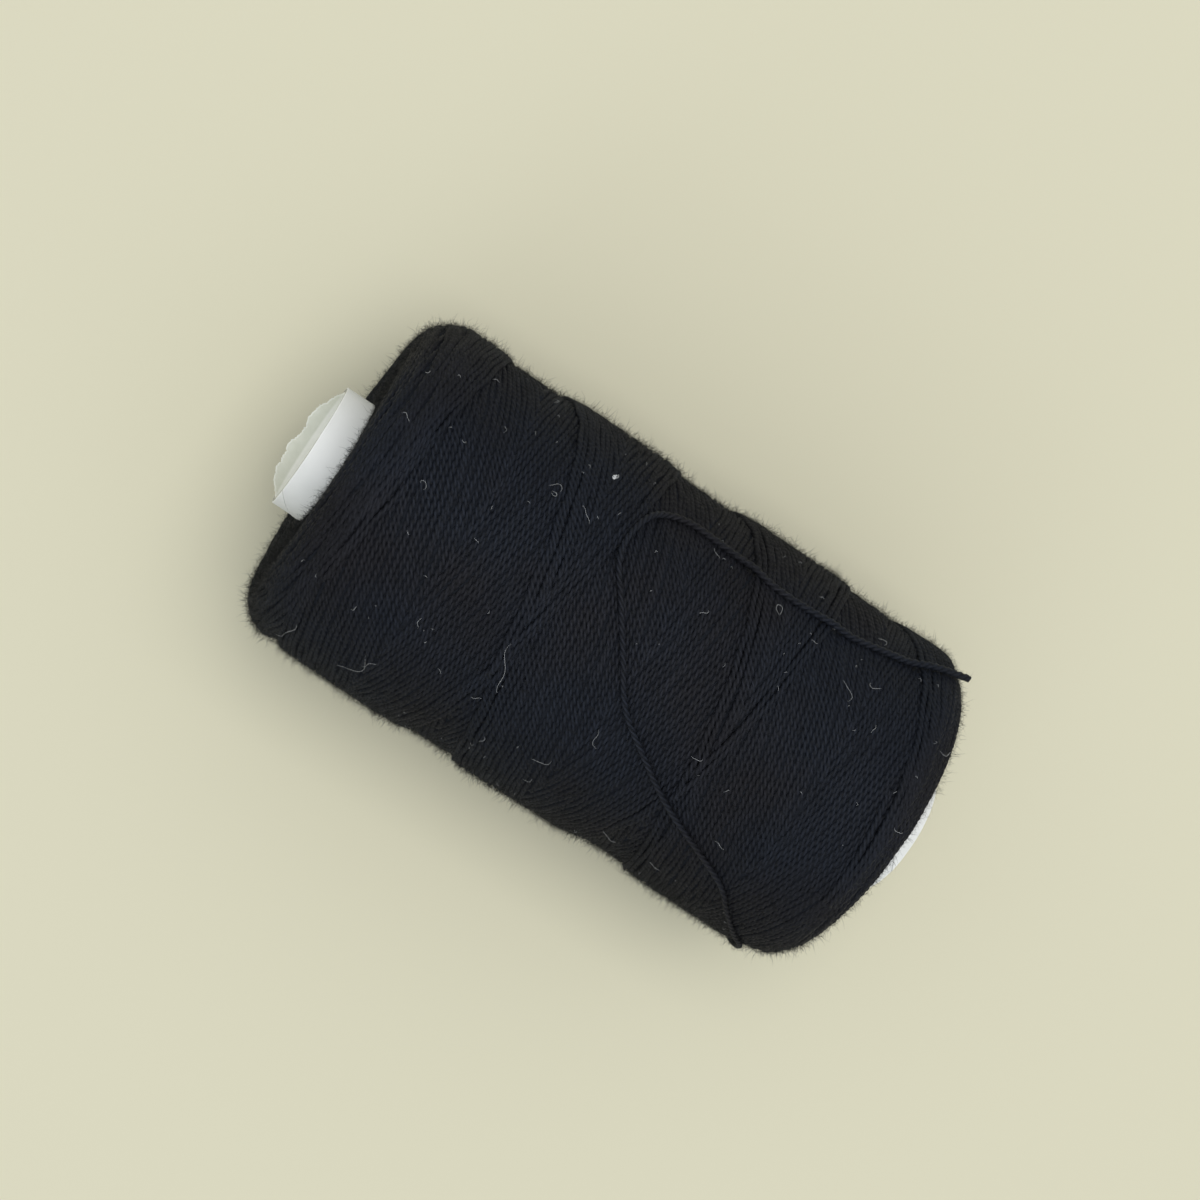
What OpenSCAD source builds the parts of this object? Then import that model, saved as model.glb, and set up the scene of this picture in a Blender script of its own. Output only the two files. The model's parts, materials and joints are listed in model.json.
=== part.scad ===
// Cross-wound package of spun thread on a straight paper tube, lying on its side.
// +X runs along the tube and +Z is up. The origin is on the tube's axis, midway along the winding.
// Angles round the package are measured from +Z towards +Y.

/* [Paper tube] */
// Outside diameter of the tube
tube_d = 20; // [14:0.5:30]
// Thickness of the white cover paper
cover_ply = 0.2; // [0.1:0.05:0.4]
// Thickness of the board between the papers
board_ply = 0.56; // [0.4:0.02:1.5]
// Thickness of the thin lining paper
lining_ply = 0.2; // [0.1:0.05:0.4]
// Thickness of the glue between two papers
glue_line = 0.02; // [0.01:0.01:0.05]
// How far the tube stands out of the winding on the left
tube_out_left = 4.2; // [1:0.1:10]
// How far the tube stands out of the winding on the right
tube_out_right = 5; // [1:0.1:10]
// How far the torn lip of the lining stands out of the tube
lip_out = 2; // [0.5:0.1:4]

/* [Winding] */
// Outside diameter of the wound thread
wind_d = 54; // [44:1:80]
// Length of the winding along the tube
wind_len = 97; // [60:1:140]
// Radius of the rounded shoulders
shoulder_r = 6.3; // [5:0.1:9]
// Depth of the flat that the winding lies on
flat_depth = 0.5; // [0.3:0.05:0.7]

/* [Thread] */
// Diameter of the thread
thread_d = 0.8; // [0.6:0.05:1.1]
// Passes of the outer layer from one end to the other
passes = 8; // [4:2:8]
// Turns round the winding in one pass
pass_turns = 2.875; // [1.875:0.25:2.875]
// Clear space between a pass and the one that crosses over it
level_gap = 0.45; // [0.45:0.05:0.8]
// How far short of the winding's end the thread turns back
turn_back = 3.5; // [2.5:0.1:5]

/* [Hidden] */

// Tube: three papers, one inside the other, from one end face to the other
cover_r = tube_d / 2;
cover_bore_r = cover_r - cover_ply;
board_r = cover_bore_r - glue_line;
board_bore_r = board_r - board_ply;
lining_r = board_bore_r - glue_line;
bore_r = lining_r - lining_ply;
tube_left = -wind_len / 2 - tube_out_left;
tube_right = wind_len / 2 + tube_out_right;

// Outer turns: rings in each turn of the thread, and where the thread starts
turn_sides = 6;
turn_rings = 24;
ring_step = 360 / turn_rings;
pass_rings = pass_turns * turn_rings;
lead_rings = 3;
short_rings = 11;
turn_count = lead_rings + passes * pass_rings - short_rings;
exit_angle = -120;

// Heights of the thread's middle over the core: one level for passes one way, and one for those back
seat_gap = 0.05;
ring_sag = wind_d / 2 * (1 - cos(ring_step / 2));
low_level = thread_d / 2 + seat_gap + ring_sag;
top_level = low_level + thread_d + level_gap;
wind_r = wind_d / 2;
core_r = wind_r - thread_d / 2 - top_level;
shoulder_x = wind_len / 2 - shoulder_r;
rest_z = flat_depth - wind_r;

// The turn at the end of a pass: its half width in turns, and the stretch in which it changes level
bend_turns = 0.06;
climb_turns = 0.085;
turn_x = wind_len / 2 - turn_back;
pass_lead = turn_x / (sqrt(pow(pass_turns / 2, 2) + pow(bend_turns, 2)) - bend_turns);

// Inner end of the thread: bent down from the upper level and run straight into a pocket in the core
dive_r = top_level;
dive_bends = 4;
pocket_gap = 0.05;

// Loose tail: [along the axis, angle round it, height of its middle over the winding's surface]
tail_sides = 8;
tail_rings = 4;
tail_route = [
    [41.8, -108, 0.1], [41.6, -97, 0.45], [41.6, -87, 0.5], [41, -77, 0.5], [38, -68, 0.5],
    [34, -57, 0.5], [30, -47, 0.5], [24, -40, 0.5], [16, -32, 0.5], [8.5, -22, 0.5],
    [2.5, -13, 0.5], [-2.5, 1, 0.5], [-6.5, 13, 0.6], [-10, 25, 0.6], [-9.5, 37, 0.6],
    [-7, 46, 0.6], [-3, 50, 0.7], [2, 50, 0.7], [7, 49, 0.7], [12, 46, 0.7],
    [18, 46, 0.7], [25, 48, 0.7], [32, 52, 0.6], [39, 58, 0.6], [46, 65, 0.6]
];

// Cuts run past the faces that they cut by this much
past = 1;

// ---------------------------------------------------------------- vectors and sweeps

function unit(v) = v / norm(v);
function round_x(x, angle, r) = [x, r * sin(angle), r * cos(angle)];
function smooth(t) = let (u = min(max(t, 0), 1)) u * u * (3 - 2 * u);

// Direction of a path at each of its points
function path_dirs(path) =
    [for (i = [0 : len(path) - 1])
        unit(path[min(i + 1, len(path) - 1)] - path[max(i - 1, 0)])];

// Ring of points square to dir, starting in the direction of side
function ring(middle, dir, side, d, sides) =
    let (v = unit(side - (side * dir) * dir), w = cross(dir, v))
    [for (k = [0 : sides - 1])
        middle + d / 2 * (v * cos(360 * k / sides) + w * sin(360 * k / sides))];

// Closed tube through rings of points: its walls in triangles, and a fan of them at each end
module tube_through(rings) {
    sides = len(rings[0]);
    last = (len(rings) - 1) * sides;
    walls = [for (i = [0 : len(rings) - 2], k = [0 : sides - 1])
        let (a = i * sides + k, b = i * sides + (k + 1) % sides)
        each [[a, a + sides, b], [b, a + sides, b + sides]]];
    ends = [for (k = [1 : sides - 2])
        each [[0, k, k + 1], [last, last + k + 1, last + k]]];
    polyhedron([for (one = rings) each one], concat(walls, ends), convexity = 10);
}

module along_x(from, to, r) {
    translate([from, 0, 0]) rotate([0, 90, 0]) cylinder(h = to - from, r = r, $fn = 96);
}

// Straight paper tube, one ply thick
module ply(from, to, outer_r, inner_r) {
    difference() {
        along_x(from, to, outer_r);
        along_x(from - past, to + past, inner_r);
    }
}

// ---------------------------------------------------------------- paper tube

module tube_cover() {
    color([0.84, 0.85, 0.84]) ply(tube_left, tube_right, cover_r, cover_bore_r);
}

module tube_board() {
    color([0.68, 0.68, 0.64]) ply(tube_left, tube_right, board_r, board_bore_r);
}

// The lining is flush with the tube all round, and a slanting tear leaves a lip on its lower half
module tube_lining() {
    tear = atan(lip_out / lining_r);
    reach = tube_d + lip_out;
    color([0.74, 0.76, 0.71])
    difference() {
        ply(tube_left - lip_out, tube_right, lining_r, bore_r);
        intersection() {
            translate([tube_left - reach, -reach / 2, -reach / 2]) cube(reach);
            translate([tube_left, 0, 0]) rotate([0, tear, 0])
                translate([-reach, -reach, -reach]) cube([reach, 2 * reach, 2 * reach]);
        }
    }
}

// ---------------------------------------------------------------- winding

// Distance from the axis of a line that lies at a height over the core, shoulders and all
function over_core(x, height) =
    let (past_shoulder = max(abs(x) - shoulder_x, 0), r = shoulder_r + height)
    core_r - shoulder_r + sqrt(r * r - past_shoulder * past_shoulder);

// Thread's place at ring i, counted from where the loose tail leaves it. Passes run between turns
// at the two ends, which are bends of a hyperbola. Passes to the left lie over those to the right.
function turn_point(i) =
    let (
        end = round((i - lead_rings) / pass_rings),
        right = end % 2 == 0,
        from_end = (i - lead_rings - end * pass_rings) / turn_rings,
        run = pass_lead * (sqrt(pow(from_end, 2) + pow(bend_turns, 2)) - bend_turns),
        x = (right ? 1 : -1) * (turn_x - run),
        climb = smooth(0.5 + from_end / (2 * climb_turns)),
        level = right ? 1 - climb : climb,
        height = low_level + (top_level - low_level) * level
    )
    round_x(x, exit_angle - ring_step * i, over_core(x, height));

exit_dir = unit(turn_point(0) - turn_point(0.1));
exit_point = turn_point(0);

// Inner end: a quarter bend down to the core's surface, then one diameter straight into it
dive_from = turn_point(turn_count);
dive_dir = unit(turn_point(turn_count) - turn_point(turn_count - 0.1));
dive_up = unit([0, dive_from[1], dive_from[2]]);
dive_end = dive_from + dive_r * dive_dir - (dive_r + thread_d) * dive_up;
dive_path = concat(
    [for (k = [1 : dive_bends])
        let (bend = 90 * k / dive_bends)
        dive_from + dive_r * sin(bend) * dive_dir - dive_r * (1 - cos(bend)) * dive_up],
    [dive_end]
);

// The whole outer layer: straight out to the tail, round and round, then down into the core
turn_path = concat(
    [exit_point, exit_point - thread_d * exit_dir],
    [for (i = [1 : turn_count]) turn_point(i)],
    dive_path
);
turn_bends = path_dirs(turn_path);
turn_dirs = [for (i = [0 : len(turn_path) - 1])
    i < 2 ? -exit_dir : i > len(turn_path) - 3 ? -dive_up : turn_bends[i]];

// Least gap of the thread to itself, between points along it: each point of the turns against the
// points that lie beside it on every later turn, and the inner end against all but its own turn
gap_steps = 8;
gap_points = [for (i = [0 : turn_count - 1], k = [0 : gap_steps - 1])
    turn_point(i) + (turn_point(i + 1) - turn_point(i)) * k / gap_steps];
function turns_gap() =
    let (once = turn_rings * gap_steps, count = len(gap_points))
    min([for (i = [0 : count - 1], j = [i + once : once : count - 2], k = [-1 : 1])
        norm(gap_points[i] - gap_points[j + k])]) - thread_d;
function dive_gap() =
    let (others = len(gap_points) - turn_rings * gap_steps)
    min([for (p = dive_path, j = [0 : others]) norm(p - gap_points[j])]) - thread_d;

module winding_core() {
    color([0.10, 0.105, 0.12])
    difference() {
        rotate([0, 90, 0]) rotate_extrude($fn = 96) core_half();
        along_x(-wind_len / 2 - past, wind_len / 2 + past, cover_r);
        dive_pocket();
    }
}

// Half section of the core, out from the axis: plain side and ends, with a round corner at each end
module core_half() {
    translate([0, -wind_len / 2])
        square([core_r - shoulder_r, wind_len]);
    translate([0, -shoulder_x])
        square([core_r, 2 * shoulder_x]);
    for (x = [-shoulder_x, shoulder_x])
        translate([core_r - shoulder_r, x]) circle(r = shoulder_r, $fn = 64);
}

// Round pocket that takes the thread's inner end, down to its end face
module dive_pocket() {
    angle = atan2(dive_up[1], dive_up[2]);
    translate(dive_end) rotate([-angle, 0, 0])
        cylinder(h = thread_d + past, r = thread_d / 2 + pocket_gap, $fn = 32);
}

module outer_turns() {
    echo(least_gap_to_itself_mm = min(turns_gap(), dive_gap()), loops = turn_count / turn_rings);
    rings = [for (i = [0 : len(turn_path) - 1])
        [for (p = ring(turn_path[i], turn_dirs[i], [1, 0, 0], thread_d, turn_sides))
            [p[0], p[1], max(p[2], rest_z)]]];
    color([0.12, 0.125, 0.145]) tube_through(rings);
}

// ---------------------------------------------------------------- loose tail

// Point on a smooth curve through the list, at a share t of the way from item i to the next
function curve_at(list, i, t) =
    let (
        last = len(list) - 1,
        a = list[max(i - 1, 0)],
        b = list[i],
        c = list[min(i + 1, last)],
        d = list[min(i + 2, last)]
    )
    b + t / 2 * (c - a + t * (2 * a - 5 * b + 4 * c - d + t * (3 * b - a - 3 * c + d)));

tail_points = [for (p = tail_route) round_x(p[0], p[1], wind_r + p[2])];
tail_knots = concat([exit_point, exit_point + thread_d * exit_dir], tail_points);
tail_path = concat(
    [tail_knots[0]],
    [for (i = [1 : len(tail_knots) - 2], k = [0 : i == 1 ? 2 : tail_rings - 2])
        curve_at(tail_knots, i, k / (i == 1 ? 3 : tail_rings - 1))],
    [tail_knots[len(tail_knots) - 1]]
);

module loose_tail() {
    dirs = path_dirs(tail_path);
    rings = [for (i = [0 : len(tail_path) - 1])
        ring(tail_path[i], i < 2 ? exit_dir : dirs[i], [0, tail_path[i][1], tail_path[i][2]],
            thread_d, tail_sides)];
    steps = [for (i = [1 : len(tail_path) - 1]) norm(tail_path[i] - tail_path[i - 1])];
    echo(tail_length_mm = steps * [for (one = steps) 1], rings = len(rings));
    color([0.13, 0.135, 0.155]) tube_through(rings);
}

tube_cover();
tube_board();
tube_lining();
winding_core();
outer_turns();
loose_tail();
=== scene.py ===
# %% [markdown]
# # A cross-wound package of black thread
#
# The object is one paper tube and one very long thread. The thread runs from end to end of the tube
# and back while it goes round, so its passes cross each other, and no flange holds them. The CAD model
# gives the sizes and a plain form of each piece. Here each piece gets its real surface: every strand
# of the outer layer, the fibres that stand off it, the papers of the tube, and the loose end.
#
# The first lines load the CAD model as a frame that never moves.
# %% Load the frame
import json
import math

import bpy
import numpy as np
from mathutils import Matrix, Vector


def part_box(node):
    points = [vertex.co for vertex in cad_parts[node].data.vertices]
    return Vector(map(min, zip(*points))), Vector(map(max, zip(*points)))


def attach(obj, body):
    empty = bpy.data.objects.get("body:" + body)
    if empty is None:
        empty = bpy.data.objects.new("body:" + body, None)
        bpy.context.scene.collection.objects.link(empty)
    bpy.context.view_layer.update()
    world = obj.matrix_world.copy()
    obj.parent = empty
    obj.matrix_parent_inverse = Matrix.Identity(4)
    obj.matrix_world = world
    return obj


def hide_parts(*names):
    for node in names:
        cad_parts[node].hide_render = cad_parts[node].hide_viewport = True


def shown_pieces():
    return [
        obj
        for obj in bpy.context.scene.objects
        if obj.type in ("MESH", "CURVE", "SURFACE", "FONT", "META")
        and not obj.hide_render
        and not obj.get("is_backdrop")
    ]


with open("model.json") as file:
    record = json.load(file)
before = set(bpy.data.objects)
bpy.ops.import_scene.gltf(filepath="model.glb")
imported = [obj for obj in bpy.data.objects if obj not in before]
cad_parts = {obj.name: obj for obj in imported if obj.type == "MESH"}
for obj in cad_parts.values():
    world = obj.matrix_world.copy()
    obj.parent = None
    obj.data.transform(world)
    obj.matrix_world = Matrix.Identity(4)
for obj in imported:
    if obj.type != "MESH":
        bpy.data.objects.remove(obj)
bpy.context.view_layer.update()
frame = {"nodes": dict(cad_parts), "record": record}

MM = 0.001
TURN = 2 * math.pi
print("CAD pieces:", ", ".join(sorted(frame["nodes"])))

# %% [markdown]
# ## Sizes
#
# The driving sizes are read from the frame, so the looks follow the construction: the core gives the
# length of the winding, the turns give its radius, and the papers give the tube. A box can't tell the
# radius of the shoulders or the thickness of the thread, so those two are written down.
# %% Sizes from the frame
_, core_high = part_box("winding_core")
turns_low, turns_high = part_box("outer_turns")
cover_low, cover_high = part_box("tube_cover")
_, board_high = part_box("tube_board")
_, lining_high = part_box("tube_lining")

wind_half = core_high.x
wind_r = turns_high.y
rest_z = turns_low.z
tube_r = cover_high.y
board_r = board_high.y
lining_r = lining_high.y
tube_left = cover_low.x
tube_right = cover_high.x
bore_r = frame["record"]["mounts"][0]["dims"]["r_mm"] * MM
shoulder_r = 6.3 * MM
shoulder_x = wind_half - shoulder_r
thread_d = 0.8 * MM
print(f"winding {2 * wind_half / MM:.1f} mm long and {2 * wind_r / MM:.1f} mm across,",
      f"tube {2 * tube_r / MM:.1f} mm across")

# %% [markdown]
# ## Camera
#
# The camera looks almost straight down, from a little past the left end. Its axes are given as
# directions, which say more plainly than angles that the package lies slanting across the picture.
# %% Camera
eye = Vector((-0.0732, 0.00456, 0.3945))
eye_right = Vector((0.8204, 0.5535, 0.1431))
eye_back = Vector((-0.1718, 0.0, 0.9851)).normalized()
eye_right = (eye_right - eye_back * eye_right.dot(eye_back)).normalized()
eye_up = eye_back.cross(eye_right)
eye_axes = Matrix((eye_right, eye_up, eye_back)).transposed().to_4x4()

camera = bpy.data.objects.new("camera", bpy.data.cameras.new("camera"))
bpy.context.scene.collection.objects.link(camera)
camera.matrix_world = Matrix.Translation(eye) @ eye_axes
camera.data.sensor_width = 36
camera.data.lens = 81
camera.data.clip_start = 0.01
bpy.context.scene.camera = camera
print("camera is", round(eye.length * 1000), "mm from the middle of the winding")

# %% [markdown]
# ## Floor and light
#
# The package lies on a plain pale floor. Black thread shows its form only by soft, broad light. A
# large lamp hangs over it, close to the way the camera looks, so that hardly any shadow shows. A weak
# cool lamp comes in over the front, and an even sky fills the rest. The view transform is Standard,
# so a colour renders about as it is written.
# %% Floor, sky and lamps
bpy.context.scene.view_settings.view_transform = "Standard"


def plain_node_material(name, colour, roughness):
    """Returns a new material, its tree and its shader, with one colour and roughness."""
    made = bpy.data.materials.new(name)
    made.use_nodes = True
    shader = made.node_tree.nodes["Principled BSDF"]
    shader.inputs["Base Color"].default_value = (*colour, 1)
    shader.inputs["Roughness"].default_value = roughness
    return made, made.node_tree, shader


floor_half = 2.5
floor_corners = [(-floor_half, -floor_half), (floor_half, -floor_half),
                 (floor_half, floor_half), (-floor_half, floor_half)]
floor_mesh = bpy.data.meshes.new("floor")
floor_mesh.from_pydata([(x, y, rest_z) for x, y in floor_corners], [], [(0, 1, 2, 3)])
floor = bpy.data.objects.new("floor", floor_mesh)
bpy.context.scene.collection.objects.link(floor)
floor_paint, _, _ = plain_node_material("pale_floor", (0.70, 0.665, 0.50), 0.8)
floor_mesh.materials.append(floor_paint)
floor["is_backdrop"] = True

sky = bpy.data.worlds.new("sky")
sky.use_nodes = True
sky_light = sky.node_tree.nodes["Background"].inputs
sky_light["Color"].default_value = (0.96, 1.0, 1.02, 1)
sky_light["Strength"].default_value = 0.62
bpy.context.scene.world = sky


def soft_lamp(name, place, size, watts, colour):
    """Makes a square area lamp at a place, aimed at the middle of the winding."""
    lamp = bpy.data.lights.new(name, "AREA")
    lamp.size = size
    lamp.energy = watts
    lamp.color = colour
    made = bpy.data.objects.new(name, lamp)
    bpy.context.scene.collection.objects.link(made)
    made.location = place
    made.rotation_mode = "QUATERNION"
    made.rotation_quaternion = (-Vector(place)).to_track_quat("-Z", "Y")


soft_lamp("overhead", place=(0.0, 0.15, 1.2), size=0.8, watts=6.8, colour=(1.0, 0.99, 0.97))
soft_lamp("cool_front", place=(-0.15, -0.9, 0.6), size=0.5, watts=1.0, colour=(0.75, 0.88, 1.0))
print("floor at", round(rest_z / MM, 2), "mm, 2 lamps")

# %% [markdown]
# ## Surfaces from arrays
#
# Every new piece is made from arrays of points. `join_grids` takes any number of grids of points and
# makes one mesh of them. A tube is a grid that closes on itself one way, and gets a flat cap at each
# end. Each grid brings its own texture coordinates, counted along and round it, and one number, its
# shade, so that no two strands look quite alike.
# %% Grids to meshes
def smooth(t):
    """Rises from 0 to 1 with a soft start and end: 3t^2 - 2t^3, held outside 0 to 1."""
    t = np.clip(t, 0, 1)
    return t * t * (3 - 2 * t)


def grid_faces(rows, columns, first):
    """Corner numbers of the four-sided faces between neighbouring rows, with the columns closed."""
    row, column = np.meshgrid(np.arange(rows - 1), np.arange(columns), indexing="ij")
    here = first + row * columns
    after = (column + 1) % columns
    corners = [here + column, here + after, here + columns + after, here + columns + column]
    return np.stack(corners, -1).reshape(-1, 4)


def grid_uvs(lengths, columns):
    """Texture coordinates of those faces: the length along, and the share of the way round."""
    low, high = lengths[:-1, None], lengths[1:, None]
    left = np.arange(columns)[None] / columns
    right = left + 1 / columns
    pairs = [(low, left), (low, right), (high, right), (high, left)]
    corners = [np.stack(np.broadcast_arrays(u, v), -1) for u, v in pairs]
    return np.stack(corners, -2).reshape(-1, 2)


def mesh_object(name, points, corners, sizes, uvs=None, shades=None):
    """Makes one object. `corners` holds the point numbers of all its faces in a row, and `sizes` how
    many each face has. Texture coordinates go with the corners, and shades with the points."""
    starts = np.concatenate([[0], np.cumsum(sizes)[:-1]])
    mesh = bpy.data.meshes.new(name)
    mesh.vertices.add(len(points))
    mesh.vertices.foreach_set("co", points.astype(np.float32).ravel())
    mesh.loops.add(len(corners))
    mesh.loops.foreach_set("vertex_index", corners.astype(np.int32))
    mesh.polygons.add(len(sizes))
    mesh.polygons.foreach_set("loop_start", starts.astype(np.int32))
    if uvs is not None:
        mesh.polygons.foreach_set("use_smooth", np.ones(len(sizes), bool))
        mesh.uv_layers.new(name="along_round")
        mesh.uv_layers[0].data.foreach_set("uv", uvs.astype(np.float32).ravel())
        shade = mesh.attributes.new("shade", "FLOAT", "POINT")
        shade.data.foreach_set("value", shades.astype(np.float32))
    mesh.update(calc_edges=True)
    mesh.validate()
    made = bpy.data.objects.new(name, mesh)
    bpy.context.scene.collection.objects.link(made)
    return made


def join_grids(name, grids, lengths, shades, capped=True):
    """Makes one object of several closed tubes of points, each an array of rows x columns x 3."""
    counts = [len(grid) * grid.shape[1] for grid in grids]
    firsts = np.concatenate([[0], np.cumsum(counts)[:-1]])
    points = np.concatenate([grid.reshape(-1, 3) for grid in grids])
    quads = np.concatenate([grid_faces(*g.shape[:2], f) for g, f in zip(grids, firsts)])
    uvs = [grid_uvs(u, g.shape[1]) for g, u in zip(grids, lengths)]
    corners = [quads.reshape(-1)]
    sizes = [np.full(len(quads), 4)]
    if capped:
        for grid, first, count, u in zip(grids, firsts, counts, lengths):
            columns = grid.shape[1]
            corners += [first + np.arange(columns)[::-1], first + count - columns + np.arange(columns)]
            sizes.append([columns, columns])
            uvs += [np.tile([u[0], 0.5], (columns, 1)), np.tile([u[-1], 0.5], (columns, 1))]
    return mesh_object(name, points, np.concatenate(corners), np.concatenate(sizes),
                       np.concatenate(uvs), np.repeat(shades, counts))


def triangles(made):
    """How many triangles an object's mesh comes to: a face with n corners makes n - 2 of them."""
    return len(made.data.loops) - 2 * len(made.data.polygons)


print("a grid of 3 x 4 points makes", len(grid_faces(3, 4, 0)), "faces")

# %% [markdown]
# ## One thread
#
# A thread is a profile carried along a path. This one has three plies, so its profile has three
# lobes, and the profile turns as it goes along: against the clock, which spinners call S twist. The
# way that the path faces is kept by an `up` direction at each point, because the winding always has
# one, and a frame that follows the surface can't spin by accident.
# %% Profile carried along a path
ply_count = 3
twist_pitch = 3.6 * MM


def unit(vectors):
    """The same vectors, each one unit long."""
    return vectors / np.linalg.norm(vectors, axis=-1, keepdims=True)


def length_along(path):
    """Distance from the path's start to each of its points."""
    steps = np.linalg.norm(np.diff(path, axis=0), axis=1)
    return np.concatenate([[0], np.cumsum(steps)])


def lobed(angle, spread):
    """How far a profile of round plies reaches at an angle, as a share of the thread's radius. Each
    ply's middle stands off by s, the spread, and a is the angle from it to the nearest ply:
    s cos a + sqrt((1 - s)^2 - (s sin a)^2)."""
    off = (angle + math.pi / ply_count) % (TURN / ply_count) - math.pi / ply_count
    return spread * np.cos(off) + np.sqrt((1 - spread) ** 2 - (spread * np.sin(off)) ** 2)


def thread_grid(path, up, radius, sides, spread=0.35, start=0.0):
    """Grid of a twisted thread: at each point of the path a lobed ring, square to the path, turned
    back by one whole turn in each twist pitch. Returns the grid and the length in twist pitches."""
    along = unit(np.gradient(path, axis=0))
    first = unit(up - along * np.sum(up * along, 1, keepdims=True))
    second = np.cross(along, first)
    pitches = length_along(path) / twist_pitch
    ring = TURN * np.arange(sides) / sides
    angle = ring[None] - TURN * pitches[:, None] + start
    out = lobed(ring, spread)[None] * np.reshape(radius, (-1, 1))
    grid = path[:, None] + out[..., None] * (
        np.cos(angle)[..., None] * first[:, None] + np.sin(angle)[..., None] * second[:, None])
    return grid, pitches


print(ply_count, "plies,", round(twist_pitch / MM, 1), "mm to a turn")

# %% [markdown]
# ## The winding's surface
#
# Seen flat, a cross winding is a pattern that repeats every half travel of the thread. Where a pass
# to the right and one to the left meet, the strands make a herringbone line round the package.
# From there both run on until a newer pass covers them. A strand's age says how many passes ago it was
# laid, from 0 for the newest to 1 for one that is about to be covered again. Each crossing layer adds a
# thread's thickness, so the surface stands lower by the two ages there, and the newest strands
# end in a small step. Those steps are the notches in the package's outline.
#
# `skin` is the plain form under that pattern: along the winding, round its shoulder, down its end.
# %% Where the surface is
travel = 30.5 * MM  # along the package in one turn
passes = 38  # in one whole cycle
layer = 0.8 * MM  # by which the surface falls in one whole age
newest = 0.72 * MM  # from the plain form up to the newest strand
tip_angle = math.radians(-31)  # where the newest strand ends
line_middle = 0.6 * MM  # where the middle herringbone line is
line_step = travel / 2
end_line = 3  # lines from the middle one to where the thread turns back
line_drift = (0, 0.4, -1.1, 0, 0.1, 0.4, 0)  # mm that each line is off its even place
turn_bend = 0.06  # turns that the bend takes there
step_sag = 0.3 * MM
step_reach = 0.13  # of an age
hollow_depth = 0.55 * MM
hollow_reach = 8 * MM


def round_axis(x, r, angle):
    """Point at a distance along the axis, a distance off it, and an angle round it from the top."""
    return np.stack(np.broadcast_arrays(x, r * np.sin(angle), r * np.cos(angle)), -1)


def skin(along, angle, height):
    """Point and outward direction at a distance along the surface from its middle, an angle round it
    from the top, and a height over it. Flat to the shoulder, a quarter circle, then the end face,
    which is a little hollow round the tube."""
    side = np.sign(along)
    bend = np.clip((np.abs(along) - shoulder_x) / shoulder_r, 0, math.pi / 2)
    down = np.maximum(np.abs(along) - shoulder_x - shoulder_r * math.pi / 2, 0)
    hollow = hollow_depth * smooth(down / hollow_reach)
    x = side * (np.minimum(np.abs(along), shoulder_x) + (shoulder_r + height) * np.sin(bend) - hollow)
    r = wind_r - shoulder_r - down + (shoulder_r + height) * np.cos(bend)
    facing = round_axis(side * np.sin(bend), np.cos(bend), angle)
    return round_axis(x, r, angle), facing


def ages(along, angle):
    """Ages of the two newest strands at a place, one of each slant: the share of a whole cycle."""
    turned = (angle - tip_angle) / TURN
    across = (along - line_middle + line_step) / travel
    return (turned + across) % 1, (turned - across) % 1


def pulled_down(age):
    """How far the newest strands are pulled down over the step that they end in, which rounds it off:
    all of the sag at age 0, and less by the square of what is left of the reach."""
    return step_sag * np.clip(1 - age / step_reach, 0, 1) ** 2


def surface_height(along, angle):
    """Height of the winding's surface over its plain form: it falls by a layer for each whole age."""
    back, forth = ages(along, angle)
    return newest - layer * (back + forth) - pulled_down(np.minimum(back, forth))


print("herringbone lines every", round(line_step / MM, 2), "mm")

# %% [markdown]
# ## Out of true
#
# No package is a true cylinder. Two slow waves run round this one, each an eighth of a millimetre
# high, and behind, its right end is also slimmer.
# %% Slow waves of the package
short_wave = 9 * MM
long_wave = 23 * MM
swell_height = 0.12 * MM
slim_from = 30 * MM
slim_to = 54 * MM
slim_ease = 9 * MM
slim_depth = 0.6 * MM


def swell(along, angle):
    """Height of the waves at a place: the sum of two sines, less the depth of the slim place."""
    slim_along = smooth((along - slim_from) / slim_ease) * smooth((slim_to - along) / slim_ease)
    slim = slim_along * smooth(np.sin(angle))
    wavy = np.sin(along / short_wave + 2 * angle) + np.sin(along / long_wave - angle + 1.0)
    return swell_height * wavy - slim_depth * slim


print("waves up to", round(2 * swell_height / MM, 2), "mm high")

# %% [markdown]
# ## The loose end
#
# The last stretch of thread has come off, and lies over the package in one long bend. Its route is a
# list of places: along the package, round it in degrees, and how high its middle is. A smooth curve
# goes through them. It starts where the thread leaves the turns underneath, and ends cut off past the
# right shoulder, where it has lost some of its twist and is thicker.
# %% Route of the loose tail
tail_step = 0.25 * MM
knot_steps = 40
tail_route = [
    (41.8, -108, 0.1), (41.6, -97, 0.45), (41.6, -87, 0.5), (41, -77, 0.5), (38, -68, 0.5),
    (34, -57, 0.5), (30, -47, 0.5), (24, -40, 0.5), (16, -32, 0.5), (8.5, -22, 0.5),
    (2.5, -13, 0.5), (-2.5, 1, 0.5), (-6.5, 13, 0.6), (-10, 25, 0.6), (-9.5, 37, 0.6),
    (-7, 46, 0.6), (-3, 50, 0.7), (2, 50, 0.7), (7, 49, 0.7), (12, 46, 0.7),
    (18, 46, 0.7), (25, 48, 0.7), (32, 52, 0.6), (39, 58, 0.6), (46, 65, 0.6),
]
tail_exit = np.array((42.43, -23.03, -13.30)) * MM
tail_heading = unit(np.array((-0.173, -0.49, 0.85)))


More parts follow.
